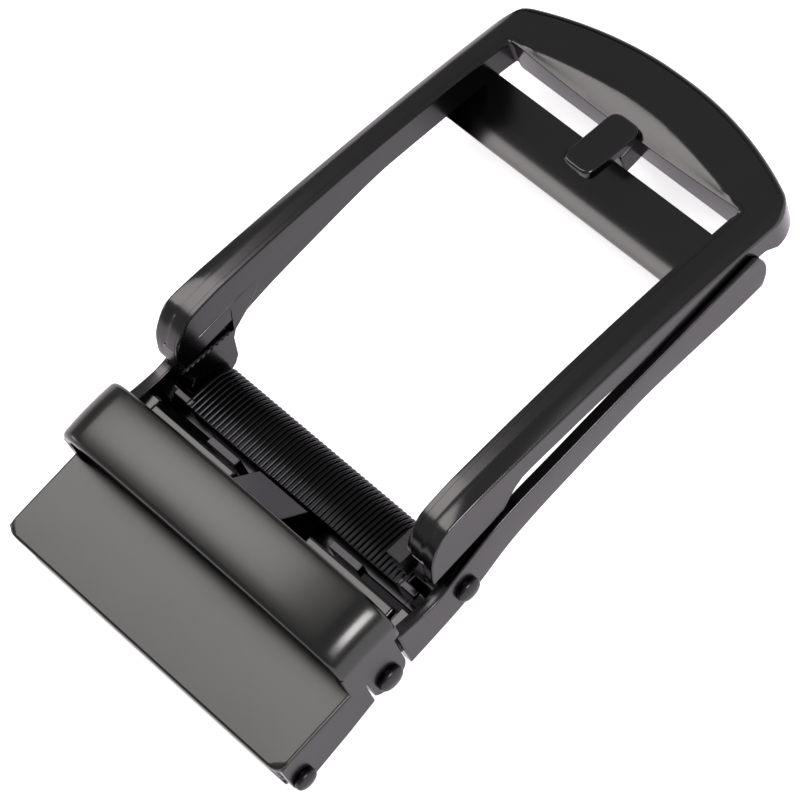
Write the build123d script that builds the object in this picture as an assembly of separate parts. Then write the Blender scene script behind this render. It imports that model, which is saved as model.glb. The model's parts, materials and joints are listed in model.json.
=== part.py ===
from build123d import *
import os
from math import atan2, cos, degrees, pi, sin

# An automatic (ratchet) belt buckle for a 35 mm strap, styled like a pin buckle.
# Every outline below is drawn round the main hinge: y = 0, z = 0 is its axis, +Y runs to the arch,
# +X is across the strap and +Z is away from the wearer. The parts are moved to the buckle's own
# origin, the middle of its footprint at its underside, only when they are written.

# ---------------------------------------------------------------- driving dimensions, mm
half_width = 20.0            # outer faces of the base arms and of the strap clamp
front_y = 54.3               # crown of the arch
rear_y = -25.9               # far end of the clamp plate
underside_z = -4.9           # bottom of the lobes round the jaw rivets
through = 40.0               # longer than any wall, for cuts and outlines that pass right through

arm_inner = 18.7             # inner faces of the base arms and of the clamp's side walls
lug_outer = 18.55            # outer faces of everything that turns between those walls
lug_inner = 17.4             # inner faces of the lugs round the clamp rivets
frame_outer_rear = 19.65     # outer half-width of the front frame at its hinge
frame_outer_front = 19.25    # the same where the rails meet the arch
window_rear = 16.1           # half-width of the window at the hinge
window_front = 15.7          # half-width of the window at the arch
window_end_y = 45.5          # inner face of the arch

main_rivet_radius = 1.1
clamp_rivet_radius = 1.0
jaw_rivet_radius = 0.9
running_gap = 0.05           # radial clearance of every turning fit
main_head_radius = 1.4
clamp_head_radius = 1.5
jaw_head_radius = 1.3
head_height = 0.9
head_rim_radius = 0.81
clamp_axis = (-11.4, -1.1)   # y, z of the clamp rivets
jaw_axis = (-24.0, -2.9)     # y, z of the jaw rivets

pawl_axis = (-0.2, -0.95)    # y, z of the pawl pin
pawl_pin_radius = 0.45
pawl_hub_radius = 0.85
pawl_half_width = 3.5
release_rod_centre = (-2.18, -0.3)
release_rod_radius = 0.45

rib_pitch = 0.6
rib_count = 52
rib_width = 0.34
rib_depth = 0.18
ribbed_half_length = 15.7

plate_thickness = 1.3
keeper_front_y = -8.15
keeper_rear_y = -15.7
keeper_wall = 1.5

below = -10.0                # under everything: where upright cuts start

origin_y = (front_y + rear_y) / 2
origin_z = underside_z


# ---------------------------------------------------------------- helpers
def side_face(edges, x):
    """A face in the plane across x, from edges drawn in (y, z)."""
    return Plane.YZ.offset(x) * make_face(edges)


def side_prism(points, x_from, x_to):
    """A straight-sided outline of (y, z) points, running across from x_from to x_to."""
    return extrude(side_face(Polyline(*points, close=True), x_from), amount=x_to - x_from)


def rod(centre, radius, x_from, x_to):
    """A round bar along X."""
    face = Plane.YZ.offset(x_from) * (Pos(*centre) * Circle(radius))
    return extrude(face, amount=x_to - x_from)


def block(x_from, x_to, y_from, y_to, z_from, z_to):
    """A box between the given limits."""
    size = (x_to - x_from, y_to - y_from, z_to - z_from)
    middle = ((x_from + x_to) / 2, (y_from + y_to) / 2, (z_from + z_to) / 2)
    return Pos(*middle) * Box(*size)


def both_sides(solid):
    """The solid and its mirror image on the other side of the buckle."""
    return solid + mirror(solid, about=Plane.YZ)


def rivet(centre, shank_radius, head_radius, inner_x):
    """One right-hand rivet: a shank from inner_x to the outer face, and a domed head outside it."""
    tip_x = half_width + head_height
    head = rod(centre, head_radius, half_width, tip_x)
    rim = head.edges().sort_by(Axis.X)[-1]
    head = fillet(rim, head_rim_radius)
    return head + rod(centre, shank_radius, inner_x, half_width)


def rivet_pair(centre, shank_radius, head_radius, inner_x):
    """The rivet on each side, as two separate solids."""
    return both_sides(rivet(centre, shank_radius, head_radius, inner_x))


# ---------------------------------------------------------------- front frame
top_front = (front_y + 1.0, 2.5)
top_middle = (30.0, 8.8)
top_rear = (5.0, 12.07)
rail_underside = [(43.9, 1.7), (38.35, 3.06), (21.2, 6.3), (12.1, 7.5)]
arch_underside = [(front_y + 1.0, -1.1), (window_end_y, 0.0)]
outboard_floor_z = 5.6       # outboard of the base arms the frame never comes lower than this
band_inner = 18.2            # where the slanted band along each rail's outer edge starts
band_width = 1.5
band_drop = 1.4
slab_half_width = 1.9        # the fixed prong: a slab on the arch, over the base's crossbar
slab_tip_y = 38.4
slab_root_y = 46.4
slab_corner_radius = 0.8
slab_thickness = 2.1
prong_root_half_width = 1.7
pocket_depth = 0.8           # depth of the slot in each ear's inner face
ear_inner = 16.0
ear_lobe_radius = 3.1
ear_lobe_flattening = 0.9    # the lobe is a little less deep than it is long


def frame_side_outline(drop):
    """The side view of the frame's rails and arch, above the ears, with its crest lowered by drop."""
    front = (top_front[0], top_front[1] - drop)
    middle = (top_middle[0], top_middle[1] - drop)
    shoulder = (top_rear[0], top_rear[1] - drop / 3)
    back = [(1.3, 11.9), (-0.2, 11.2), (-1.8, 9.1), (-2.5, 6.7), (-2.65, outboard_floor_z)]
    crest = ThreePointArc(front, middle, shoulder)
    rear = Spline(shoulder, *back)
    under = Polyline(back[-1], (7.4, outboard_floor_z), (8.6, 6.6), (10.6, 7.6), *rail_underside[::-1])
    arch = Polyline(rail_underside[0], (window_end_y, 1.2), arch_underside[1], arch_underside[0], front)
    return crest + rear + under + arch


def frame_plan_face():
    """The frame seen from above: tapering rails that run into the arch, with no window."""
    rear = (frame_outer_rear, -6.0)
    corner = (frame_outer_front, 46.5)
    shoulder = (17.4, 50.2)
    bend = (18.75, 48.7)
    crown = ThreePointArc(shoulder, (0, front_y), (-shoulder[0], shoulder[1]))
    right = Line(rear, corner) + ThreePointArc(corner, bend, shoulder)
    base_line = Line((-rear[0], rear[1]), rear)
    return make_face(right + crown + mirror(right, about=Plane.YZ) + base_line)


def scoop_cutter():
    """A wide shallow cylinder that hollows a crescent out of the arch's inner top edge."""
    radius, length = 88.0, 6.0
    start = (window_end_y, 4.15)
    end = (48.7, 4.45)
    tilt = degrees(atan2(end[1] - start[1], end[0] - start[0]))
    cylinder = extrude(Plane.XZ * (Pos(0, radius) * Circle(radius)), amount=-length)
    return Pos(0, *start) * (Rot(X=tilt) * cylinder)


def ear(side_from, side_to):
    """The rounded lug that carries the frame on the main hinge, inboard of the base arms."""
    rear_top = (-2.65, 6.4)
    neck = (-1.86, 2.5)
    angle_neck = atan2(neck[1], neck[0])
    foot = (1.3, -2.25)
    angle_mid = (angle_neck + 2 * pi + atan2(foot[1], foot[0])) / 2
    mid = (ear_lobe_radius * cos(angle_mid), ear_lobe_radius * sin(angle_mid) * ear_lobe_flattening)
    back = Polyline((10.4, 8.0), (-2.3, 8.0), rear_top, (-2.9, 4.7), neck)
    round_part = ThreePointArc(neck, mid, foot)
    front = Polyline(foot, (2.7, -1.4), (3.35, -0.5), (3.9, 2.7), (4.5, 3.7), (6.5, 4.9), (8.2, 6.2),
                     (10.4, 8.0))
    return extrude(side_face(back + round_part + front, side_from), amount=side_to - side_from)


def front_frame():
    flat = extrude(side_face(frame_side_outline(0), -band_inner), amount=2 * band_inner)
    crease = side_face(frame_side_outline(0), band_inner)
    edge = side_face(frame_side_outline(band_drop), band_inner + band_width)
    band = loft([crease, edge], ruled=True)
    body = flat + both_sides(band)
    body = body & extrude(Pos(0, 0, below) * frame_plan_face(), amount=through)
    window = Polyline((-window_rear, -6), (window_rear, -6), (window_front, window_end_y),
                      (-window_front, window_end_y), close=True)
    body -= extrude(Pos(0, 0, below) * make_face(window), amount=through)
    body -= scoop_cutter()
    body += both_sides(ear(ear_inner, lug_outer))
    body += prong()
    body -= both_sides(ear_pocket())
    body -= rod((0, 0), main_rivet_radius + running_gap, -half_width, half_width)
    body -= rod(release_rod_centre, release_rod_radius, -release_rod_half_length, release_rod_half_length)
    return body


def prong():
    """The fixed prong: a flat finger with rounded corners, on a deeper root at the arch."""
    length = slab_root_y - slab_tip_y
    footprint = RectangleRounded(2 * slab_half_width, length, slab_corner_radius)
    finger = Pos(0, slab_tip_y + length / 2, 0) * extrude(footprint, amount=through)
    crest = [(37.0, 7.15), (42.0, 6.1), (47.5, 4.65)]
    under = [(y, z - slab_thickness) for y, z in reversed(crest)]
    finger = finger & side_prism(crest + under, -slab_half_width, slab_half_width)
    root = block(-prong_root_half_width, prong_root_half_width, 42.95, window_end_y + 0.5, 0.2, 3.4)
    return finger + root


def ear_pocket():
    """The slot in an ear's inner face, open towards the clamp, and the hollow in its rear end."""
    outline = [(-3.6, 8.75), (5.05, 7.5), (4.25, 4.0), (-3.6, 5.4)]
    slot = side_prism(outline, ear_inner - 1, window_rear + pocket_depth)
    corners = Polyline((18.8, 10.0), (17.5, 9.0), (18.5, 5.9), (18.9, 6.6), close=True)
    hollow = extrude(Plane.XZ.offset(0.9) * make_face(corners), amount=4)
    return slot + hollow


# ---------------------------------------------------------------- release rod
release_rod_half_length = 18.0


def release_rod():
    return rod(release_rod_centre, release_rod_radius, -release_rod_half_length, release_rod_half_length)


# ---------------------------------------------------------------- base frame
arm_bottom = [(-8.65, -3.0), (-1.6, -2.6), (1.8, -1.7), (5.6, -0.5), (9.0, 0.0), (14.0, 0.2),
              (25.0, 0.1), (31.0, -0.6), (37.8, -1.7), (43.0, -2.3)]
arm_top = [(42.9, 3.5), (38.0, 3.8), (33.3, 4.0), (21.5, 4.6), (14.6, 4.8), (9.6, 5.0), (5.4, 4.8),
           (1.2, 3.9), (-2.8, 2.9), (-5.0, 2.95), (-8.65, 3.7)]
arm_nose_y = 44.1
lip_inner = 19.5             # the thin lip that stands outside the closed front frame
web_top_z = -1.9             # floor between the arms, under the ribbed bar
web_bottom_z = -2.65
web_rear_y = -8.2
web_front_y = -3.55
web_step_front_y = 2.0       # between the ears the floor runs on as far as this
pawl_slot_half_width = 3.85
spring_lug_from = 5.0
spring_lug_to = 5.8
tub_wall = 0.5               # the tub under the pawl, open on top
tub_front_y = 0.9
tub_bottom_z = -4.6
tongue_radius = 2.1          # the clamp lug's round end


def arm():
    """One side arm of the base: a bowed flat bar with a rounded nose."""
    bottom = Spline(*arm_bottom)
    nose = ThreePointArc(arm_bottom[-1], (arm_nose_y, 0.6), arm_top[0])
    top = Spline(*arm_top)
    back = Line(arm_top[-1], arm_bottom[0])
    return extrude(side_face(bottom + nose + top + back, arm_inner), amount=half_width - arm_inner)


def clamp_lug():
    """The tongue that laps inside the clamp's side wall, round the clamp rivet."""
    y, z = clamp_axis
    bar = side_prism([(-8.6, -2.9), (-8.6, 1.2), (y, 1.0), (y, -3.2)], lug_inner, lug_outer)
    joint = block(lug_inner, arm_inner + 0.3, -8.6, -5.7, -2.9, 2.3)
    return bar + rod(clamp_axis, tongue_radius, lug_inner, lug_outer) + joint


def crossbar():
    """The bowed plate between the arms at the arch end."""
    crest = Spline((36.3, 0.3), (37.7, 0.75), (40.0, 1.65), (42.5, 3.2))
    front = Line((42.5, 3.2), (42.5, 2.1))
    under = Spline((42.5, 2.1), (40.0, 0.65), (38.0, -0.2), (36.5, -0.6))
    back = Line((36.5, -0.6), (36.3, 0.3))
    width = arm_inner + 0.2
    return extrude(side_face(crest + front + under + back, -width), amount=2 * width)


def base_frame():
    body = both_sides(arm() + clamp_lug())
    body += crossbar()
    seat = [(y, z - 0.08) for y, z in rail_underside[:3]]
    body -= both_sides(side_prism([(48, 0.7), *seat, (21.2, 12), (48, 12)], window_front - 0.3, lip_inner))
    reach = arm_inner + 0.2
    body += block(-reach, reach, web_rear_y, web_front_y, web_bottom_z, web_top_z)
    body += block(-ribbed_half_length, ribbed_half_length, web_front_y - 0.05, web_step_front_y,
                  web_bottom_z + 0.2, web_top_z)
    tub_half_width = pawl_slot_half_width + tub_wall
    body += block(-tub_half_width, tub_half_width, web_rear_y, tub_front_y, tub_bottom_z, web_top_z)
    body -= block(-pawl_slot_half_width, pawl_slot_half_width, web_rear_y - 1, tub_front_y - tub_wall,
                  tub_bottom_z + tub_wall, 0)
    hub_y, hub_z = pawl_axis
    lug = block(spring_lug_from, spring_lug_to, hub_y - 0.9, hub_y + 0.9, web_top_z - 0.1, hub_z + 0.8)
    tab = block(6.75, 10.9, -5.9, -5.0, web_top_z - 0.1, 1.2)
    ledge = block(10.9, arm_inner + 0.1, -6.0, -5.2, web_top_z - 0.1, 0.2)
    body += both_sides(lug + tab + ledge)
    body -= rod((0, 0), main_rivet_radius, -half_width, half_width)
    body -= rod(pawl_axis, pawl_pin_radius, -6.5, 6.5)
    body -= both_sides(rod(clamp_axis, clamp_rivet_radius + running_gap, lug_inner - 0.5, half_width))
    return body


# ---------------------------------------------------------------- ribbed bar
def ribbed_outline(inset):
    """The bar's outer surface in (y, z), drawn in by inset, from its sharp edge to its foot."""
    rise = 0.8 * inset
    return [(-4.3, 1.6 - inset), (-1.9, 1.3 - inset), (0.4, 0.72 - inset),
            (1.6 - rise, -0.2 - rise), (2.05 - inset, -1.15), (2.05 - inset, web_top_z)]


def ribbed_profile(outer_inset, inner_inset):
    outer = ribbed_outline(outer_inset)
    inner = ribbed_outline(inner_inset)
    edge = Line(inner[0], outer[0])
    foot = Line(outer[-1], inner[-1])
    return Spline(*outer) + foot + Spline(*inner[::-1]) + edge


def ribbed_bar():
    shell = ribbed_profile(rib_depth, 0.82)
    body = extrude(side_face(shell, -ribbed_half_length), amount=2 * ribbed_half_length)
    rib = ribbed_profile(0.0, 0.5)
    for number in range(rib_count):
        x = (number - (rib_count - 1) / 2) * rib_pitch
        body += extrude(side_face(rib, x - rib_width / 2), amount=rib_width)
    foot = block(ribbed_half_length - 0.8, lug_inner - 0.1, -4.4, -3.4, web_top_z, 1.5)
    post = block(12.0, 13.2, 0.4, 1.5, web_top_z, -0.6)
    return body + both_sides(foot + post)


# ---------------------------------------------------------------- ratchet pawl, its pin and springs
pawl_tip = (-8.5, 7.0)


def ratchet_pawl():
    hub_y, hub_z = pawl_axis
    outline = [(hub_y, -0.8), (-3.0, -0.8), (-4.62, 0.4), (-4.75, 2.9), (-7.6, 6.4), pawl_tip,
               (-8.2, 5.2), (-6.9, 2.0), (-5.9, -0.4), (-3.4, -1.75), (hub_y, hub_z - pawl_hub_radius)]
    blade = side_prism(outline, -pawl_half_width, pawl_half_width)
    hub = rod(pawl_axis, pawl_hub_radius, -pawl_half_width, pawl_half_width)
    bore = rod(pawl_axis, pawl_pin_radius + running_gap, -half_width, half_width)
    return blade + hub - bore


def pawl_pin():
    return rod(pawl_axis, pawl_pin_radius, -spring_lug_to, spring_lug_to)


def pawl_spring(side):
    """A torsion coil on the pawl pin; one leg lies under the blade, the other on the web."""
    wire = 0.14
    coil_radius = pawl_pin_radius + 0.06 + wire
    turns = 2.5
    pitch = 0.4
    height = turns * pitch
    helix = Helix(pitch=pitch, height=height, radius=coil_radius)
    section = Plane(origin=helix @ 0, z_dir=helix % 0) * Circle(wire)
    coil = sweep(section, path=helix, is_frenet=True)
    along_x = Rot(Y=90) * coil
    start_x = pawl_half_width + 0.3
    placed = Pos(start_x, *pawl_axis) * along_x
    return placed if side > 0 else mirror(placed, about=Plane.YZ)


# ---------------------------------------------------------------- strap clamp and keeper
plate_front_y = -6.6
plate_front_z = 2.9
plate_rear_z = 2.25
notch_half_width = 5.2       # room for the pawl in the plate's front margin
notch_depth_y = -12.2
far_corner_radius = 1.2
slit_y = -13.35              # the narrow slit between the rivet lobe and the side wall
clamp_lobe_radius = 2.4      # the side wall's round end at the clamp rivet
jaw_lobe_radius = 2.0        # the same at the jaw rivet


def arch_face(side_x, foot_z, spring_z, bend, shoulder, crown_z):
    """A face across the buckle: upright sides, rounded shoulders and a shallow arched top."""
    top = ThreePointArc(shoulder, (0, crown_z), (-shoulder[0], shoulder[1]))
    right = Line((side_x, foot_z), (side_x, spring_z)) + ThreePointArc((side_x, spring_z), bend, shoulder)
    return make_face(right + top + mirror(right, about=Plane.YZ) + Line((-side_x, foot_z), (side_x, foot_z)))


def keeper():
    """The raised loop that holds the free end of the strap down."""
    inner_x = half_width - keeper_wall
    outer = arch_face(half_width, 4.2, 7.3, (19.25, 9.25), (17.6, 10.2), 11.6)
    inner = arch_face(inner_x, 1.0, 6.8, (18.0, 8.05), (16.7, 8.65), 10.1)
    length = keeper_front_y - keeper_rear_y
    loop = extrude(Plane.XZ.offset(-keeper_front_y) * outer, amount=length)
    return loop - extrude(Plane.XZ.offset(-keeper_front_y - 1) * inner, amount=length + 2)


def clamp_wall():
    """One side wall, from the lobe round the clamp rivet to the lobe round the jaw rivet."""
    outline = [(keeper_front_y, 7.0), (keeper_front_y, 4.4), (-8.95, 4.1), (-8.95, -1.1), (slit_y, -1.1),
               (slit_y, -2.85), (-17.75, -3.8), (-22.6, -4.6), (-25.7, -2.9), (-25.9, plate_rear_z),
               (keeper_rear_y, 2.75), (keeper_rear_y, 7.0)]
    wall = side_prism(outline, arm_inner, half_width)
    wall += rod(clamp_axis, clamp_lobe_radius, arm_inner, half_width)
    wall += rod(jaw_axis, jaw_lobe_radius, arm_inner, half_width)
    wall -= block(arm_inner - 1, half_width + 1, slit_y - 0.45, slit_y - 0.2, -6, 2.6)
    return wall & block(0, half_width, rear_y, 0, -6, 20)


def clamp_plate():
    """The flat top plate under the strap's free end."""
    profile = [(plate_front_y, plate_front_z), (rear_y, plate_rear_z),
               (rear_y, plate_rear_z - plate_thickness),
               (plate_front_y, plate_front_z - plate_thickness)]
    return side_prism(profile, -half_width, half_width)


def clamp_housing():
    shoulders = block(lug_inner - 0.2, half_width, -9.0, 0, -3, 4.0)
    plate = clamp_plate() - both_sides(shoulders)
    plate = plate - block(-notch_half_width, notch_half_width, notch_depth_y, 0, 0, 4)
    body = plate + both_sides(clamp_wall()) + keeper()
    length = 2 * half_width
    corners = RectangleRounded(2 * half_width, length, far_corner_radius)
    footprint = Pos(0, rear_y + length / 2, below) * corners
    body = body & extrude(footprint, amount=through)
    body -= both_sides(rod(clamp_axis, clamp_rivet_radius, arm_inner - 1, half_width + 1))
    body -= both_sides(rod(jaw_axis, jaw_rivet_radius, arm_inner - 1, half_width + 1))
    return body


# ---------------------------------------------------------------- jaw under the clamp
tooth_pitch = 1.2
tooth_height = 0.5
tooth_rows = 4
tooth_half_width = 16.4
first_tooth_y = -25.3
jaw_lug_inner = 17.2
jaw_lug_radius = 1.6


def clamp_jaw():
    """The hinged plate that bites the strap's fixed end, with rows of teeth near its hinge."""
    y, z = jaw_axis
    plate = side_prism([(-25.6, -3.95), (-14.3, -3.5), (-14.3, -4.3), (-25.6, -4.75)], -lug_outer, lug_outer)
    foot = block(jaw_lug_inner, lug_outer, y - 1.2, y + 1.2, z - 1.4, z - 0.6)
    jaw = plate + both_sides(rod(jaw_axis, jaw_lug_radius, jaw_lug_inner, lug_outer) + foot)
    for row in range(tooth_rows):
        tooth_y = first_tooth_y + row * tooth_pitch
        tooth = [(tooth_y, -4.1), (tooth_y + 0.55, -3.93 + tooth_height), (tooth_y + 1.0, -4.1)]
        jaw += side_prism(tooth, -tooth_half_width, tooth_half_width)
    return jaw - rod(jaw_axis, jaw_rivet_radius + running_gap, -half_width, half_width)


# ---------------------------------------------------------------- every node, written in the buckle's frame
nodes = {
    "base_frame": base_frame(),
    "ribbed_bar": ribbed_bar(),
    "main_hinge_rivets": rivet_pair((0, 0), main_rivet_radius, main_head_radius, window_rear),
    "pawl_pin": pawl_pin(),
    "pawl_spring_right": pawl_spring(1),
    "pawl_spring_left": pawl_spring(-1),
    "ratchet_pawl": ratchet_pawl(),
    "front_frame": front_frame(),
    "release_rod": release_rod(),
    "clamp_housing": clamp_housing(),
    "clamp_rivets": rivet_pair(clamp_axis, clamp_rivet_radius, clamp_head_radius, lug_inner),
    "clamp_jaw": clamp_jaw(),
    "jaw_rivets": rivet_pair(jaw_axis, jaw_rivet_radius, jaw_head_radius, jaw_lug_inner),
}

os.makedirs("parts", exist_ok=True)
for name, shape in nodes.items():
    export_step(Pos(0, -origin_y, -origin_z) * shape, f"parts/{name}.step")
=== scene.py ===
import json
from math import atan2, cos, hypot, pi, radians, sin, sqrt, tan

import bmesh
import bpy
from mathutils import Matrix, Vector


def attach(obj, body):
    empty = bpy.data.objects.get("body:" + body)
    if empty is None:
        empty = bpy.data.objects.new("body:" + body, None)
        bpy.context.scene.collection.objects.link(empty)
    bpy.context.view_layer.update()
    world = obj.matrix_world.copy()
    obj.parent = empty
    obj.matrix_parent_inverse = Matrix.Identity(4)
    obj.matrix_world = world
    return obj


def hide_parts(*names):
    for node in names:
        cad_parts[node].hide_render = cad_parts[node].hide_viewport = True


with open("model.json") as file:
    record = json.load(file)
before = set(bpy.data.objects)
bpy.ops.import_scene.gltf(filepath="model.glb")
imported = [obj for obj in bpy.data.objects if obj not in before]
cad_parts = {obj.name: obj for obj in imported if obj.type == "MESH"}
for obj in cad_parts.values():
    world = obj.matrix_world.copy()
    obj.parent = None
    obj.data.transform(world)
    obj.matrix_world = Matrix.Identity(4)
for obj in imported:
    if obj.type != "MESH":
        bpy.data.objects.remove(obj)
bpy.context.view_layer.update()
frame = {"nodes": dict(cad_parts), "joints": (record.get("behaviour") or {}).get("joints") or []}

# ---------------------------------------------------------------- base frame
# One zinc casting: two bowed side arms joined by a bowed bar under the arch and by a floor under the
# ribbed bar, with a tongue behind each arm for the clamp's rivet. Polished, then plated black.
hinge = Vector(next(j for j in frame["joints"] if j["name"] == "front_frame_lift")["pos_m"])
arm_inner_x = 18.7
arm_outer_x = 20.0
casting_edge = 0.2           # radius that polishing leaves on a cast edge


def at(x, y, z):
    """A point in mm from the middle of the hinge axis, in the buckle's own frame in metres."""
    return hinge + Vector((x, y, z)) * 0.001


def flowing(points, steps=8):
    """A smooth open line through the points."""
    line = []
    ends = [points[0]] + list(points) + [points[-1]]
    for a, b, c, d in zip(ends, ends[1:], ends[2:], ends[3:]):
        for k in range(steps):
            t = k / steps
            line.append(tuple(
                0.5 * (2 * q + (r - p) * t + (2 * p - 5 * q + 4 * r - s) * t ** 2
                       + (3 * q - p - 3 * r + s) * t ** 3)
                for p, q, r, s in zip(a, b, c, d)))
    return line + [tuple(points[-1])]


def circle_through(a, b, c):
    """Centre and radius of the circle through three points."""
    (ax, ay), (bx, by), (cx, cy) = a, b, c
    d = 2 * (ax * (by - cy) + bx * (cy - ay) + cx * (ay - by))
    sa, sb, sc = ax * ax + ay * ay, bx * bx + by * by, cx * cx + cy * cy
    ux = (sa * (by - cy) + sb * (cy - ay) + sc * (ay - by)) / d
    uy = (sa * (cx - bx) + sb * (ax - cx) + sc * (bx - ax)) / d
    return ux, uy, hypot(ax - ux, ay - uy)


def bow(a, b, c, steps=12):
    """Points along the circular arc from a through b to c."""
    ux, uy, radius = circle_through(a, b, c)
    start, middle, end = (atan2(y - uy, x - ux) for x, y in (a, b, c))
    turn = (end - start) % (2 * pi)
    if (middle - start) % (2 * pi) > turn:
        turn -= 2 * pi
    return [(ux + radius * cos(start + turn * k / steps), uy + radius * sin(start + turn * k / steps))
            for k in range(steps + 1)]


def rounded(points, radius, steps=4):
    """A closed outline with its corners rounded; a point's third number is its own radius."""
    line = []
    for i, here in enumerate(points):
        corner = Vector(here[:2])
        back = Vector(points[i - 1][:2]) - corner
        on = Vector(points[(i + 1) % len(points)][:2]) - corner
        half = max(back.angle(on) / 2, 0.05)
        reach = (here[2] if len(here) > 2 else radius) / tan(half) if half < 1.55 else 0.0
        reach = min(reach, 0.45 * back.length, 0.45 * on.length)
        if reach < 0.01:
            line.append(tuple(corner))
            continue
        start, end = corner + back.normalized() * reach, corner + on.normalized() * reach
        for k in range(steps + 1):
            t = k / steps
            line.append(tuple(start * (1 - t) ** 2 + corner * 2 * t * (1 - t) + end * t ** 2))
    return line


def drawn_in(outline, depth):
    """A closed outline moved inwards by depth."""
    area = sum(a[0] * b[1] - b[0] * a[1] for a, b in zip(outline, outline[1:] + outline[:1]))
    turn = 1 if area > 0 else -1
    moved = []
    for i, here in enumerate(outline):
        a = (Vector(here) - Vector(outline[i - 1])).normalized()
        b = (Vector(outline[(i + 1) % len(outline)]) - Vector(here)).normalized()
        along = (a + b).normalized()
        spread = max(along.dot(a), 0.6)
        moved.append((here[0] - along.y * turn * depth / spread, here[1] + along.x * turn * depth / spread))
    return moved


def skin(shell, rings, capped=True):
    """Adds a closed surface over rings of points, with flat ends or joined end to end."""
    rows = [[shell.verts.new(at(*point)) for point in ring] for ring in rings]
    pairs = list(zip(rows, rows[1:])) + ([] if capped else [(rows[-1], rows[0])])
    for a, b in pairs:
        for i in range(len(a)):
            j = (i + 1) % len(a)
            shell.faces.new((a[i], a[j], b[j], b[i]))
    if capped:
        shell.faces.new(rows[0][::-1])
        shell.faces.new(rows[-1])


def sideways(u, v, w):
    """Stands an outline up in side view, with its thickness across the buckle."""
    return w, u, v


def slab(shell, outline, low, high, edge=casting_edge, place=sideways, steps=3):
    """A closed slab with this outline, from low to high across it, with rounded edges."""
    rings = []
    for k in range(steps + 1):
        angle = pi / 2 * k / steps
        ring = drawn_in(outline, edge * (1 - sin(angle)))
        rings.append([place(u, v, low + edge * (1 - cos(angle))) for u, v in ring])
    for k in range(steps, -1, -1):
        angle = pi / 2 * k / steps
        ring = drawn_in(outline, edge * (1 - sin(angle)))
        rings.append([place(u, v, high - edge * (1 - cos(angle))) for u, v in ring])
    skin(shell, rings)


def made(name, shell, material, body, slot, *nodes):
    """Turns the shell into one piece with clean normals that rides on a body and stands for nodes."""
    crease = radians(40.0)
    bmesh.ops.recalc_face_normals(shell, faces=shell.faces[:])
    many_sided = [face for face in shell.faces if len(face.verts) > 4]
    bmesh.ops.triangulate(shell, faces=many_sided)
    mesh = bpy.data.meshes.new(name)
    for face in shell.faces:
        face.smooth = True
    for line in shell.edges:
        if len(line.link_faces) == 2 and line.calc_face_angle(0) > crease:
            line.smooth = False
    shell.to_mesh(mesh)
    shell.free()
    piece = bpy.data.objects.new(name, mesh)
    bpy.context.scene.collection.objects.link(piece)
    mesh.materials.append(material)
    fair = piece.modifiers.new("fair_normals", "WEIGHTED_NORMAL")
    fair.keep_sharp = True
    fair.weight = 60
    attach(piece, body)
    if nodes:
        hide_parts(*nodes)
    return piece


def cut(shell, tool):
    """The shell with the tool's solid taken out of it."""
    pair = []
    for part in (shell, tool):
        bmesh.ops.recalc_face_normals(part, faces=part.faces[:])
        mesh = bpy.data.meshes.new("cutting")
        part.to_mesh(mesh)
        part.free()
        pair.append(bpy.data.objects.new("cutting", mesh))
        bpy.context.scene.collection.objects.link(pair[-1])
    difference = pair[0].modifiers.new("cut", "BOOLEAN")
    difference.operation, difference.solver, difference.object = "DIFFERENCE", "EXACT", pair[1]
    graph = bpy.context.evaluated_depsgraph_get()
    result = bmesh.new()
    result.from_mesh(pair[0].evaluated_get(graph).to_mesh())
    for spent in pair:
        bpy.data.objects.remove(spent)
    return result


def add(shell, other):
    """Puts another closed shell into this one."""
    mesh = bpy.data.meshes.new("joining")
    other.to_mesh(mesh)
    other.free()
    shell.from_mesh(mesh)
    bpy.data.meshes.remove(mesh)


class Wire:
    """A shader value that sums and products can be written with; node() makes any other node."""

    def __init__(self, tree, socket=None):
        self.tree, self.socket = tree, socket

    def node(self, kind, settings=None, inputs=None, output=0):
        new = self.tree.nodes.new(kind)
        for key, value in (settings or {}).items():
            if key == "stops":
                for spot, (place, colour) in zip(new.color_ramp.elements, value):
                    spot.position, spot.color = place, colour
            else:
                setattr(new, key, value)
        for key, value in (inputs or {}).items():
            if isinstance(value, Wire):
                self.tree.links.new(value.socket, new.inputs[key])
            else:
                new.inputs[key].default_value = value
        return Wire(self.tree, new.outputs[output]) if len(new.outputs) else self

    def maths(self, operation, a, b):
        return self.node("ShaderNodeMath", {"operation": operation}, {0: a, 1: b})

    def __add__(self, other):
        return self.maths("ADD", self, other)

    def __sub__(self, other):
        return self.maths("SUBTRACT", self, other)

    def __rsub__(self, other):
        return self.maths("SUBTRACT", other, self)

    def __mul__(self, other):
        return self.maths("MULTIPLY", self, other)

    __radd__, __rmul__ = __add__, __mul__


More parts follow.
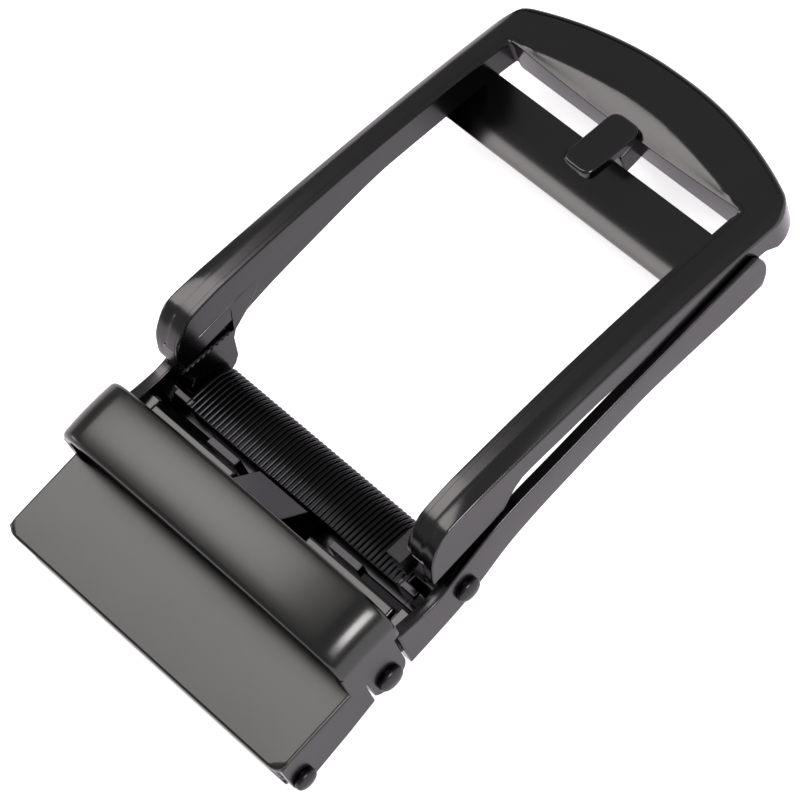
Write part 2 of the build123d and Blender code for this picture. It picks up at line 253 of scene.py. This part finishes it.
def plated(name, dark, light, dull, grain):
    """Plating or steel whose tone drifts slowly, with a fine grain that breaks up its gloss."""
    material = bpy.data.materials.new(name)
    material.use_nodes = True
    tree = material.node_tree
    tree.nodes.clear()
    start = Wire(tree)
    spot = start.node("ShaderNodeTexCoord", output="Object")
    drift = start.node("ShaderNodeTexNoise", inputs={"Vector": spot, "Scale": 90.0, "Detail": 3.0})
    fine = start.node("ShaderNodeTexNoise", inputs={"Vector": spot, "Scale": 5200.0, "Detail": 4.0,
                                                    "Roughness": 0.6})
    tone = start.node("ShaderNodeMix", {"data_type": "RGBA"},
                      {"Factor": drift * 0.7 + fine * 0.3, 6: dark, 7: light}, output=2)
    bump = start.node("ShaderNodeBump", inputs={"Strength": grain, "Distance": 0.00001, "Height": fine})
    shader = start.node("ShaderNodeBsdfPrincipled", inputs={
        "Base Color": tone, "Metallic": 1.0, "Specular Tint": (0.8, 0.78, 0.81, 1),
        "Roughness": dull + (drift - 0.5) * 0.08 + (fine - 0.5) * 0.05, "Normal": bump})
    start.node("ShaderNodeOutputMaterial", inputs={"Surface": shader})
    return material


satin_black = plated("satin_black", (0.046, 0.0452, 0.0448, 1), (0.056, 0.0552, 0.0545, 1), 0.23, 0.16)

arm_underside = [(-8.65, -3.0), (-1.6, -2.6), (1.8, -1.7), (5.6, -0.5), (9.0, 0.0), (14.0, 0.2),
                 (25.0, 0.1), (31.0, -0.6), (37.8, -1.7), (43.0, -2.3)]
arm_crest = [(42.9, 3.5), (38.0, 3.8), (33.3, 4.0), (21.5, 4.6), (14.6, 4.8), (9.6, 5.0), (5.4, 4.8),
             (1.2, 3.9), (-2.8, 2.9), (-5.0, 2.95), (-8.65, 3.7)]
arm_nose = bow((43.0, -2.3), (44.1, 0.6), (42.9, 3.5))
arm_outline = flowing(arm_underside)[:-1] + arm_nose[:-1] + flowing(arm_crest)
crown_seat = [(50.0, -0.1), (43.9, 1.62), (38.35, 2.98), (21.2, 6.22), (21.2, 12.0), (50.0, 12.0)]
clamp_centre = (-11.4, -1.1)
tongue = (bow((-11.4, 1.0), (-13.5, -1.1), (-11.4, -3.2))[:-1]
          + [(-11.4, -3.2), (-8.6, -2.9), (-5.7, -2.9), (-5.7, 2.0), (-8.6, 1.2)])


def across(side, near, far):
    """The low and high x of something that lies from near to far on one side."""
    return sorted((side * near, side * far))


# Pieces of the deck: side-view outline, corner radius, near and far x, edge radius
tab = ([(-5.9, -2.2), (-5.0, -2.2), (-5.0, 1.2), (-5.9, 1.2)], 0.12, 6.75, 10.9, 0.12)
ledge = ([(-6.0, -2.2), (-5.2, -2.2), (-5.2, 0.2), (-6.0, -0.7)], 0.12, 10.8, 18.8, 0.1)
end_block = ([(-5.1, -2.2), (-3.35, -2.2), (-3.35, 1.3), (-5.1, 0.9)], 0.3, 17.2, 18.8, 0.15)
pin_lug = ([(-1.1, -2.2), (0.7, -2.2), (0.7, -0.15), (-1.1, -0.15)], 0.3, 5.0, 5.8, 0.1)
web = ([(-8.2, -2.65), (-3.55, -2.65), (2.0, -2.45), (2.0, -1.9), (-8.2, -1.9)], 0.1, 3.85, 15.7, 0.1)
web_end = ([(-8.2, -2.65), (-2.65, -2.65), (-2.65, -1.9), (-8.2, -1.9)], 0.1, 15.6, 18.9, 0.1)
tub_side = ([(-8.2, -4.6), (0.9, -4.6), (0.9, -2.0), (-8.2, -2.0)], 0.15, 3.85, 4.35, 0.1)
web_lip = ([(0.4, -2.45), (2.0, -2.45), (2.0, -1.9), (0.4, -1.9)], 0.1, -3.9, 3.9, 0.1)
tub_floor = ([(-8.2, -4.6), (0.9, -4.6), (0.9, -4.15), (-8.2, -4.15)], 0.1, -4.3, 4.3, 0.1)
tub_front = ([(0.45, -4.6), (0.9, -4.6), (0.9, -2.1), (0.45, -2.1)], 0.1, -4.3, 4.3, 0.1)
arm_foot = [(-8.5, -2.85), (-5.8, -2.85), (-5.8, 2.2), (-8.5, 2.2)]

base = bmesh.new()
deck = bmesh.new()
for side in (-1, 1):
    arm = bmesh.new()
    slab(arm, arm_outline, *across(side, arm_inner_x, arm_outer_x))
    rebate = bmesh.new()
    slab(rebate, crown_seat, *across(side, 15.4, 19.5), edge=0.01, steps=1)
    add(base, cut(arm, rebate))
    slab(base, tongue, *across(side, 17.4, 18.55), edge=0.15)
    slab(base, rounded(arm_foot, 0.2), *across(side, 17.45, 18.9), edge=0.1)
    for outline, corner, near, far, edge in (tab, ledge, end_block, pin_lug, web, web_end, tub_side):
        slab(deck, rounded(outline, corner), *across(side, near, far), edge=edge)
for outline, corner, low, high, edge in (web_lip, tub_floor, tub_front):
    slab(deck, rounded(outline, corner), low, high, edge=edge)
crossbar = (flowing([(36.3, 0.42), (37.4, 0.5), (38.6, 0.85), (40.0, 1.6), (42.5, 3.2)])
            + flowing([(42.5, 2.1), (40.0, 0.65), (38.0, -0.2), (36.5, -0.6)]))
crossbar_half = 18.9
slab(base, crossbar, -crossbar_half, crossbar_half, edge=0.1)
polished_black = plated("polished_black", (0.049, 0.047, 0.049, 1), (0.058, 0.056, 0.057, 1), 0.20, 0.06)
made("base_casting", base, polished_black, "base", "satin_black", "base_frame")
# A darker, glossier copy of the plating. On the ribbed bar and the pawl it is their blacking; on the deck,
# which is part of the base casting, it is painted shade for the recess under the ribbed bar.
inner_black = plated("inner_black", (0.022, 0.021, 0.023, 1), (0.034, 0.033, 0.035, 1), 0.16, 0.08)
# The deck is painted darker than the rest of its casting, as shade in the recess round the ribbed bar and
# pawl.
made("base_deck", deck, inner_black, "base", "inner_black")

# ---------------------------------------------------------------- ribbed bar
# A fluted steel pressing over the pawl's pin that grips the strap's back. It is formed with fine ribs
# across its curved face, blacked, and held by a foot at each end.
rib_pitch = 0.6
rib_count = 52
rib_depth = 0.28
ribbed_half = 15.7
bar_thickness = 0.82
# Across one rib: the offset from its middle, and the height as a share of rib_depth
rib_shape = [(-0.30, 0.0), (-0.235, 0.0), (-0.22, 0.30), (-0.17, 0.66), (-0.09, 0.92), (0.0, 1.0),
             (0.09, 0.92), (0.17, 0.66), (0.22, 0.30), (0.235, 0.0)]


def bar_line(inset):
    """The bar's outer face in side view, drawn in by inset, from its sharp edge to its foot."""
    rise = 0.8 * inset
    return flowing([(-4.3, 1.6 - inset), (-1.9, 1.3 - inset), (0.4, 0.72 - inset), (1.6 - rise, -0.2 - rise),
                    (2.05 - inset, -1.15), (2.05 - inset, -1.9)], steps=6)


bar = bmesh.new()
bar_rings = []
ribs = [((number - (rib_count - 1) / 2) * rib_pitch + offset, height)
        for number in range(rib_count) for offset, height in rib_shape]
underside = bar_line(bar_thickness)[::-1]
for x, height in [(-ribbed_half, 0.0)] + ribs + [(ribbed_half, 0.0)]:
    bar_rings.append([(x, y, z) for y, z in bar_line(rib_depth * (1 - height)) + underside])
skin(bar, bar_rings)
end_foot = rounded([(-4.4, -1.9), (-3.4, -1.9), (-3.4, 1.5), (-4.4, 1.5)], 0.25)
front_foot = rounded([(0.4, -1.9), (1.5, -1.9), (1.5, -0.6), (0.4, -0.6)], 0.2)
for side in (-1, 1):
    slab(bar, end_foot, *across(side, 14.9, 17.3), edge=0.12)
    slab(bar, front_foot, *across(side, 12.0, 13.2), edge=0.1)
made("ribbed_grip", bar, inner_black, "base", "inner_black", "ribbed_bar")

# ---------------------------------------------------------------- rivets
# Blacked steel rivets with domed heads, one of each kind on both sides. Those of the main hinge are held
# by the arms, and the clamp's two pairs by its own walls.
black_steel = plated("black_steel", (0.030, 0.029, 0.030, 1), (0.045, 0.044, 0.045, 1), 0.30, 0.3)


def turned(shell, centre, profile, turns=40, capped=True):
    """A turned part on an axis along X: profile is (x, radius) from one end to the other."""
    rings = [[(x, centre[0] + radius * cos(2 * pi * k / turns), centre[1] + radius * sin(2 * pi * k / turns))
              for k in range(turns)] for x, radius in profile]
    skin(shell, rings, capped)


def rivet_pair(name, centre, shank, head, inner_x, body):
    """One rivet on each side, with the radii of its shank and head; dome is (rise, share of radius)."""
    pair = bmesh.new()
    dome = [(0.0, 0.97), (0.06, 1.0), (0.40, 1.0), (0.52, 0.975), (0.62, 0.92), (0.71, 0.82), (0.78, 0.68),
            (0.84, 0.50), (0.88, 0.30), (0.90, 0.10)]
    profile = ([(inner_x, shank - 0.15), (inner_x + 0.15, shank), (arm_outer_x - 0.1, shank),
                (arm_outer_x - 0.05, head * 0.9)]
               + [(arm_outer_x + rise, head * share) for rise, share in dome])
    for side in (-1, 1):
        turned(pair, centre, [(side * x, radius) for x, radius in profile])
    made(name + "_heads", pair, black_steel, body, "black_steel", name)


rivet_pair("main_hinge_rivets", (0.0, 0.0), 1.1, 1.4, 16.1, "base")
rivet_pair("clamp_rivets", clamp_centre, 1.0, 1.5, 17.4, "strap_clamp")
jaw_centre = (-24.0, -2.9)
rivet_pair("jaw_rivets", jaw_centre, 0.9, 1.3, 17.2, "strap_clamp")

# ---------------------------------------------------------------- pawl pin, springs and release rod
# Drawn steel rod and spring wire. The pin sits in two lugs of the base with a torsion spring at each
# end of the pawl, and the rod crosses between the front frame's ears.
spring_steel = plated("spring_steel", (0.30, 0.29, 0.27, 1), (0.42, 0.41, 0.39, 1), 0.28, 0.2)
for name, metal in (("pawl_pin", black_steel), ("release_rod", black_steel),
                    ("pawl_spring_right", spring_steel), ("pawl_spring_left", spring_steel)):
    slots = frame["nodes"][name].data.materials
    slots.clear()
    slots.append(metal)

# ---------------------------------------------------------------- ratchet pawl
# A bent steel blade on a rolled hub, with one edge that catches the strap's teeth. It is stamped,
# blacked, and turns on its pin between the base's two lugs.
pawl_half = 3.5
pawl = bmesh.new()
blade = rounded([(-0.75, -0.8), (-3.0, -0.8, 0.5), (-4.62, 0.4, 0.8), (-4.75, 2.9, 0.8), (-7.6, 6.4),
                 (-8.5, 7.0), (-8.2, 5.2, 0.4), (-6.9, 2.0, 1.0), (-5.9, -0.4, 1.0), (-3.4, -1.75, 1.0),
                 (-0.75, -1.75)], 0.1)
slab(pawl, blade, -pawl_half, pawl_half, edge=0.15)
hub = [(-pawl_half, 0.5), (-pawl_half, 0.75), (-3.4, 0.85), (3.4, 0.85), (pawl_half, 0.75), (pawl_half, 0.5)]
turned(pawl, (-0.2, -0.95), hub, capped=False)
made("pawl_blade", pawl, inner_black, "ratchet_pawl", "inner_black", "ratchet_pawl")

# ---------------------------------------------------------------- front frame
# The visible face of the buckle: a zinc casting with two arched rails, a wide crown hollowed along its
# inner edge, a fixed prong, and an ear behind each rail for the hinge. Polished, then plated black.
window_end = 45.5
crest_circle = circle_through((55.3, 2.5), (30.0, 8.8), (5.0, 12.07))
rear_line = flowing([(-2.65, 5.6), (-2.5, 6.7), (-1.8, 9.1), (-0.2, 11.2), (1.3, 11.9), (5.0, 12.07)],
                    steps=4)
rear_floor_z = 5.6
band_start = 18.2            # distance from the middle at which the slanted band begins
band_width = 1.5
band_depth = 1.4             # of the band's outer edge by the crown
band_depth_lost = 0.93       # how much shallower it is by the hinge
band_rear_depth = 0.47
band_rear_start = 1.3
prong_top = 2.1
dish_front_y = 45.0
dish_half_width = 16.0
dish_radius = 88.0           # of the dish's floor across the buckle


def crest(y):
    """Height of the arched top line."""
    return crest_circle[1] + sqrt(crest_circle[2] ** 2 - (y - crest_circle[0]) ** 2)


def hollow(x, y):
    """How far the wide shallow dish along the crown's inner edge lies below the crest."""
    if y < dish_front_y or abs(x) > dish_half_width:
        return 0.0
    u = y - window_end
    rise = dish_radius - sqrt(dish_radius ** 2 - x * x)
    return max(0.0, crest(y) - (3.89 + 0.35 * u - 0.055 * u * u + rise))


def band_fall(x, y):
    """How far the slanted band along the outer edge lies below the crest."""
    full = band_depth - band_depth_lost * (y - 55.3) * (y - 30.0) / 1257.5
    if y < 5.0:
        full = band_rear_depth * max(0.0, (y - band_rear_start) / 3.7)
    return max(0.0, abs(x) - band_start) / band_width * full


def underside_z(y):
    """Height of the frame's lower edge."""
    line = [(12.1, 7.5), (21.2, 6.3), (38.35, 3.06), (43.9, 1.7), (45.45, 1.2), (45.5, 0.0), (55.3, -1.1)]
    for (y0, z0), (y1, z1) in zip(line, line[1:]):
        if y <= y1:
            return z0 + (z1 - z0) * (y - y0) / (y1 - y0)
    return line[-1][1]


def window_x(y):
    """Half-width of the window, which narrows a little towards the crown."""
    return 16.1 - 0.4 * y / window_end


def outer_x(y):
    """Half-width of the frame over its rails."""
    return 19.65 - 0.4 * (y + 6.0) / 52.5


def frame_section(inner, outer, top, down, reach, edge):
    """One closed ring through the frame, from the window's edge over the top to the outer edge.

    top gives the (y, z) of the top at y, down is the way to the underside, and reach the depth to it."""
    groove = 0.10
    soft = 0.3
    inner, outer = Vector(inner), Vector(outer)
    length = (outer - inner).length
    along = (outer - inner) / length

    def fall(s):
        x, y = inner + along * s
        return band_fall(x, y) + hollow(x, y)

    def point(s, depth):
        x, y = inner + along * s
        ty, tz = top(y)
        return x, ty + down[0] * depth, tz + down[1] * depth

    band = length
    if abs(outer[0]) > band_start and abs(inner[0]) < band_start:
        band = length * (band_start - abs(inner[0])) / (abs(outer[0]) - abs(inner[0]))
    band = min(band, length - 0.7)
    rim = 0.3 * band
    for k in range(1, 200):
        s = band * k / 200
        x, y = inner + along * s
        if hollow(x, y) > 0.0:
            rim = s
    rim = min(max(rim, 0.9), band - 0.8)
    stops = [0.2, 0.2 + (rim - 0.2) * 0.33, 0.2 + (rim - 0.2) * 0.66, rim - soft, rim, rim + soft,
             rim + (band - rim) * 0.5, band - soft, band, band + soft, length - edge]
    ring = [point(0.1, reach(inner[1])), point(0.0, reach(inner[1]) - 0.1), point(0.0, fall(0.2) + 0.2),
            point(0.06, fall(0.2) + 0.06)]
    for s in stops:
        depth = fall(s)
        if s in (rim, band):
            depth = (2 * depth + fall(s - soft) + fall(s + soft)) / 4 + (groove if s == band else 0.0)
        ring.append(point(s, depth))
    rim_fall = fall(length - edge)
    slope = fall(length) - rim_fall
    for k in (1, 2, 3, 4):
        angle = pi / 2 * k / 4
        depth = rim_fall + slope * sin(angle) + edge * 0.8 * (1 - cos(angle))
        ring.append(point(length - edge * (1 - sin(angle)), depth))
    ring += [point(length, reach(outer[1]) - 0.15), point(length - 0.15, reach(outer[1]))]
    return ring


sections = []
rear_floor_y = [-2.1, -1.9, -1.5, -1.0, -0.4, 0.2, 0.8, 1.4, 2.0, 2.6, 3.1, 3.6, 4.0, 4.4, 4.8, 5.2, 5.6,
                6.0, 6.4, 6.9, 7.4]
for (ty, tz), uy in zip(rear_line, rear_floor_y):
    gap = Vector((uy - ty, rear_floor_z - tz))
    sections.append(frame_section((window_x(ty), ty), (outer_x(ty), ty), lambda y, t=(ty, tz): t,
                                  gap.normalized(), lambda y, g=gap.length: g, 0.25))
for ty, uy, uz in ((6.2, 7.9, 6.0), (7.4, 8.6, 6.6), (8.7, 9.5, 7.2), (10.0, 10.6, 7.6), (11.2, 11.5, 7.55)):
    gap = Vector((uy - ty, uz - crest(ty)))
    sections.append(frame_section((window_x(ty), ty), (outer_x(ty), ty), lambda y: (y, crest(y)),
                                  gap.normalized(), lambda y, g=gap.length: g, 0.25))
upright = dict(top=lambda y: (y, crest(y)), down=(0.0, -1.0), reach=lambda y: crest(y) - underside_z(y))
rail_start, rail_end, rail_steps = 12.1, 45.0, 44
for k in range(rail_steps + 1):
    y = rail_start + (rail_end - rail_start) * k / rail_steps
    sections.append(frame_section((window_x(y), y), (outer_x(y), y), edge=0.25, **upright))
corner_in = bow((15.7, 45.2), (15.61, 45.41), (15.4, 45.5), steps=8)
corner_out = bow((19.25, 46.5), (18.75, 48.7), (17.4, 50.2), steps=8)
for k, (inside, outside) in enumerate(zip(corner_in, corner_out)):
    sections.append(frame_section(inside, outside, edge=0.25 + 0.35 * k / 8, **upright))
half_crown = bow((17.4, 50.2), (0.0, 54.3), (-17.4, 50.2), steps=60)[1:31]
for k, outside in enumerate(half_crown):
    sections.append(frame_section((15.4 * (1 - (k + 1) / 30), window_end), outside, edge=0.6, **upright))
sections += [[(-x, y, z) for x, y, z in ring] for ring in sections[-2::-1]]
rails = bmesh.new()
skin(rails, sections)
pocket_line = [(-3.6, 8.75), (5.05, 7.5), (4.25, 4.0), (-3.6, 5.4)]


def pocket(side):
    """The slot in an ear's inner face, open towards the clamp."""
    tool = bmesh.new()
    slab(tool, pocket_line, *across(side, 15.0, 16.85), edge=0.01, steps=1)
    return tool


for side in (-1, 1):
    rails = cut(rails, pocket(side))

bead_count = 9               # beads in the rough line along the ear's inner face
ridge_steps = 96
lobe = bow((-1.86, 2.5), (-2.6, -1.35), (1.3, -2.25), steps=16)
ear_outline = ([(9.6, 8.2), (-2.2, 8.2), (-2.6, 6.4), (-2.9, 4.7)] + lobe
               + [(2.7, -1.4), (3.35, -0.5), (3.9, 2.7), (4.5, 3.7), (6.5, 4.9), (8.2, 6.2)])
for side in (-1, 1):
    ear = bmesh.new()
    slab(ear, ear_outline, *across(side, 16.02, 18.55), edge=0.15)
    add(rails, cut(ear, pocket(side)))
    bead_rings = []
    for k in range(ridge_steps + 1):
        share = k / ridge_steps
        y, z = -2.7 + 6.6 * share, 5.25 - 1.15 * share
        radius = 0.02 if k in (0, ridge_steps) else 0.13 + 0.11 * abs(sin(pi * bead_count * share))
        bead_rings.append([(side * (16.12 - radius * cos(2 * pi * n / 8)),
                            y + 0.17 * radius * sin(2 * pi * n / 8),
                            z + radius * sin(2 * pi * n / 8)) for n in range(8)])
    skin(rails, bead_rings)
prong_outline = rounded([(-1.9, 38.4), (1.9, 38.4), (1.9, 46.4), (-1.9, 46.4)], 1.25, steps=8)


def on_prong(u, v, w):
    """Lays the flat prong along the falling line of its top, which is at w = prong_top."""
    line = [(37.0, 7.15), (42.0, 6.1), (47.5, 4.65)]
    (y0, z0), (y1, z1) = line[:2] if v < 42.0 else line[1:]
    return u, v, z0 + (z1 - z0) * (v - y0) / (y1 - y0) - prong_top + w


slab(rails, prong_outline, 0.5, prong_top, edge=0.35, place=on_prong, steps=4)
prong_root = rounded([(42.95, 0.2), (46.0, 0.2), (46.0, 3.6), (42.95, 3.6)], 0.25)
slab(rails, prong_root, -1.7, 1.7)
made("front_casting", rails, polished_black, "front_frame", "satin_black", "front_frame")

# ---------------------------------------------------------------- strap clamp and keeper
# A housing for the strap's fixed end: a flat plate on top, two side walls that the rivets pass through,
# and the raised keeper that holds the free end down. Cast in zinc and plated satin black.
clamp = bmesh.new()
keeper_middle = -11.925
keeper_half = 3.775
keeper_crown = 0.35          # how far the loop's top falls from its middle to its lips
lip_radius = 0.55
lip_start = 3.225            # distance from the middle at which the lip's rounding begins
shoulder = bow((20.0, 6.4), (19.0, 9.05), (16.6, 10.36))
over = shoulder[:-1] + bow((16.6, 10.36), (0.0, 11.6), (-16.6, 10.36), steps=40)
over += [(-x, z) for x, z in shoulder[-2::-1]]
inner_shoulder = bow((18.5, 6.8), (18.0, 8.05), (16.7, 8.65))
under = inner_shoulder[:-1] + bow((16.7, 8.65), (0.0, 10.1), (-16.7, 8.65), steps=40)
under += [(-x, z) for x, z in inner_shoulder[-2::-1]]
loop = [(20.0, 4.2)] + over + [(-20.0, 4.2), (-18.5, 4.2)] + under[::-1] + [(18.5, 4.2)]
keeper_rings = []
lip_to_middle = (-1.0, -0.993, -0.975, -0.95, -0.92, -0.89, -0.855, -0.7, -0.5, -0.25, 0.0)
for along in lip_to_middle + tuple(-share for share in lip_to_middle[-2::-1]):
    lip = max(0.0, abs(along) * keeper_half - lip_start)
    inset = lip_radius - sqrt(max(0.0, lip_radius ** 2 - lip ** 2))
    y = keeper_middle + keeper_half * along
    keeper_rings.append([(x, y, z - keeper_crown * along ** 2 * min(1.0, max(0.0, (z - 5.0) / 3.0)))
                         for x, z in drawn_in(loop, inset)])
skin(clamp, keeper_rings)
tongue_end = bow((-9.0, -1.1), (-11.4, -3.5), (-13.55, -2.17), steps=14)
far_end = bow((-22.6, -4.6), (-24.6, -4.6), (-25.4, -3.1), steps=8)
slit = [(-13.55, 1.1), (-13.65, 1.2), (-13.7, 1.2), (-13.8, 1.1), (-13.8, -2.7), (-13.95, -2.95)]
wall = ([(-8.15, 6.3), (-8.15, 4.4), (-8.5, 4.15), (-9.0, 4.0)] + tongue_end + slit + [(-17.75, -3.8)]
        + far_end + [(-25.4, 1.75), (-25.25, 1.95), (-15.7, 2.3), (-15.7, 6.3)])
for side in (-1, 1):
    slab(clamp, wall, *across(side, arm_inner_x, 19.985), edge=0.12)
plate_thickness = 1.3
plate_outline = rounded([(-19.97, -25.9, 1.6), (19.97, -25.9, 1.6), (19.97, -9.0), (17.2, -9.0),
                         (17.2, -6.45), (5.2, -6.45), (5.2, -12.2), (-5.2, -12.2),
                         (-5.2, -6.45), (-17.2, -6.45), (-17.2, -9.0), (-19.97, -9.0)], 0.4, steps=6)


def on_plate(u, v, w):
    """Lays the plate along its slow rise to the hinge: w is the height above its underside."""
    return u, v, 2.25 + (v + 25.9) * 0.65 / 19.3 - plate_thickness + w


slab(clamp, plate_outline, 0.0, plate_thickness, edge=0.3, place=on_plate)
made("clamp_shell", clamp, satin_black, "strap_clamp", "satin_black", "clamp_housing")

# ---------------------------------------------------------------- jaw
# The hinged plate that bites the strap's cut end from below, with rows of teeth by its hinge. Plated
# satin black like the clamp round it.
tooth_rows = 4
tooth_pitch = 1.2
jaw_half = 18.55
jaw = bmesh.new()
jaw_outline = rounded([(-25.6, -3.95), (-14.3, -3.5), (-14.3, -4.3), (-25.6, -4.75)], 0.2)
slab(jaw, jaw_outline, -jaw_half, jaw_half, edge=0.15)
eye = [(17.2, 0.95), (17.2, 1.5), (17.3, 1.6), (18.45, 1.6), (jaw_half, 1.5), (jaw_half, 0.95)]
for side in (-1, 1):
    turned(jaw, jaw_centre, [(side * x, radius) for x, radius in eye], capped=False)
for row in range(tooth_rows):
    y = -25.3 + tooth_pitch * row
    slab(jaw, rounded([(y, -4.1), (y + 0.55, -3.43), (y + 1.0, -4.1)], 0.06), -16.4, 16.4, edge=0.1)
made("jaw_plate", jaw, satin_black, "jaw", "satin_black", "clamp_jaw")

# ---------------------------------------------------------------- table, lights and camera
# The buckle lies on a lit white table, under a broad soft panel. A brighter panel stands on its right, a
# warm one low on its left, and a dimmer room all round.
table = bmesh.new()
bmesh.ops.create_grid(table, x_segments=8, y_segments=8, size=1.5)
for vert in table.verts:
    vert.co.z = -0.0002
white = bpy.data.materials.new("white_table")
white.use_nodes = True
tree = white.node_tree
tree.nodes.clear()
start = Wire(tree)
spot = start.node("ShaderNodeTexCoord", output="Object")
speck = start.node("ShaderNodeTexNoise", inputs={"Vector": spot, "Scale": 40.0, "Detail": 2.0})
tone = start.node("ShaderNodeMix", {"data_type": "RGBA"},
                  {"Factor": speck, 6: (0.88, 0.88, 0.88, 1), 7: (0.92, 0.92, 0.92, 1)}, output=2)
shader = start.node("ShaderNodeBsdfPrincipled", inputs={
    "Base Color": tone, "Roughness": 0.9, "Emission Color": (1, 0.985, 1, 1), "Emission Strength": 0.75})
start.node("ShaderNodeOutputMaterial", inputs={"Surface": shader})
mesh = bpy.data.meshes.new("table")
table.to_mesh(mesh)
table.free()
mesh.materials.append(white)
floor = bpy.data.objects.new("table", mesh)
bpy.context.scene.collection.objects.link(floor)


def soft_panel(name, place, target, width, height, power, colour=(1.0, 1.0, 1.0)):
    """A rectangular lamp at place that faces target."""
    light = bpy.data.lights.new(name, "AREA")
    light.color = colour
    light.shape, light.size, light.size_y, light.energy = "RECTANGLE", width, height, power
    lamp = bpy.data.objects.new(name, light)
    lamp.location = place
    lamp.rotation_euler = (Vector(target) - Vector(place)).to_track_quat("-Z", "Y").to_euler()
    bpy.context.scene.collection.objects.link(lamp)


soft_panel("overhead_panel", (-0.235, 0.025, 0.35), (-0.235, 0.025, 0.0), 0.35, 0.17, 0.80,
           (1.0, 0.98, 0.955))
soft_panel("right_panel", (0.45, 0.07, 0.34), (0.0, 0.0, 0.0), 0.20, 0.20, 1.9)
soft_panel("left_panel", (-0.56, -0.34, 0.16), (0.0, 0.0, 0.01), 0.30, 0.20, 0.9, (1.0, 0.93, 0.85))

world = bpy.data.worlds.new("room")
world.use_nodes = True
world.node_tree.nodes["Background"].inputs["Color"].default_value = (1, 1, 1, 1)
world.node_tree.nodes["Background"].inputs["Strength"].default_value = 0.42
bpy.context.scene.world = world
bpy.context.scene.view_settings.view_transform = "Standard"

lens = bpy.data.cameras.new("camera")
lens.sensor_width = 36.0
lens.lens = 151.86
lens.shift_x, lens.shift_y = -0.0171, -0.0053
lens.clip_start = 0.01
camera = bpy.data.objects.new("camera", lens)
camera.location = (0.14253587, -0.05936902, 0.30677323)
camera.rotation_euler = (radians(24.23334), radians(11.56472), radians(44.11586))
bpy.context.scene.collection.objects.link(camera)
bpy.context.scene.camera = camera
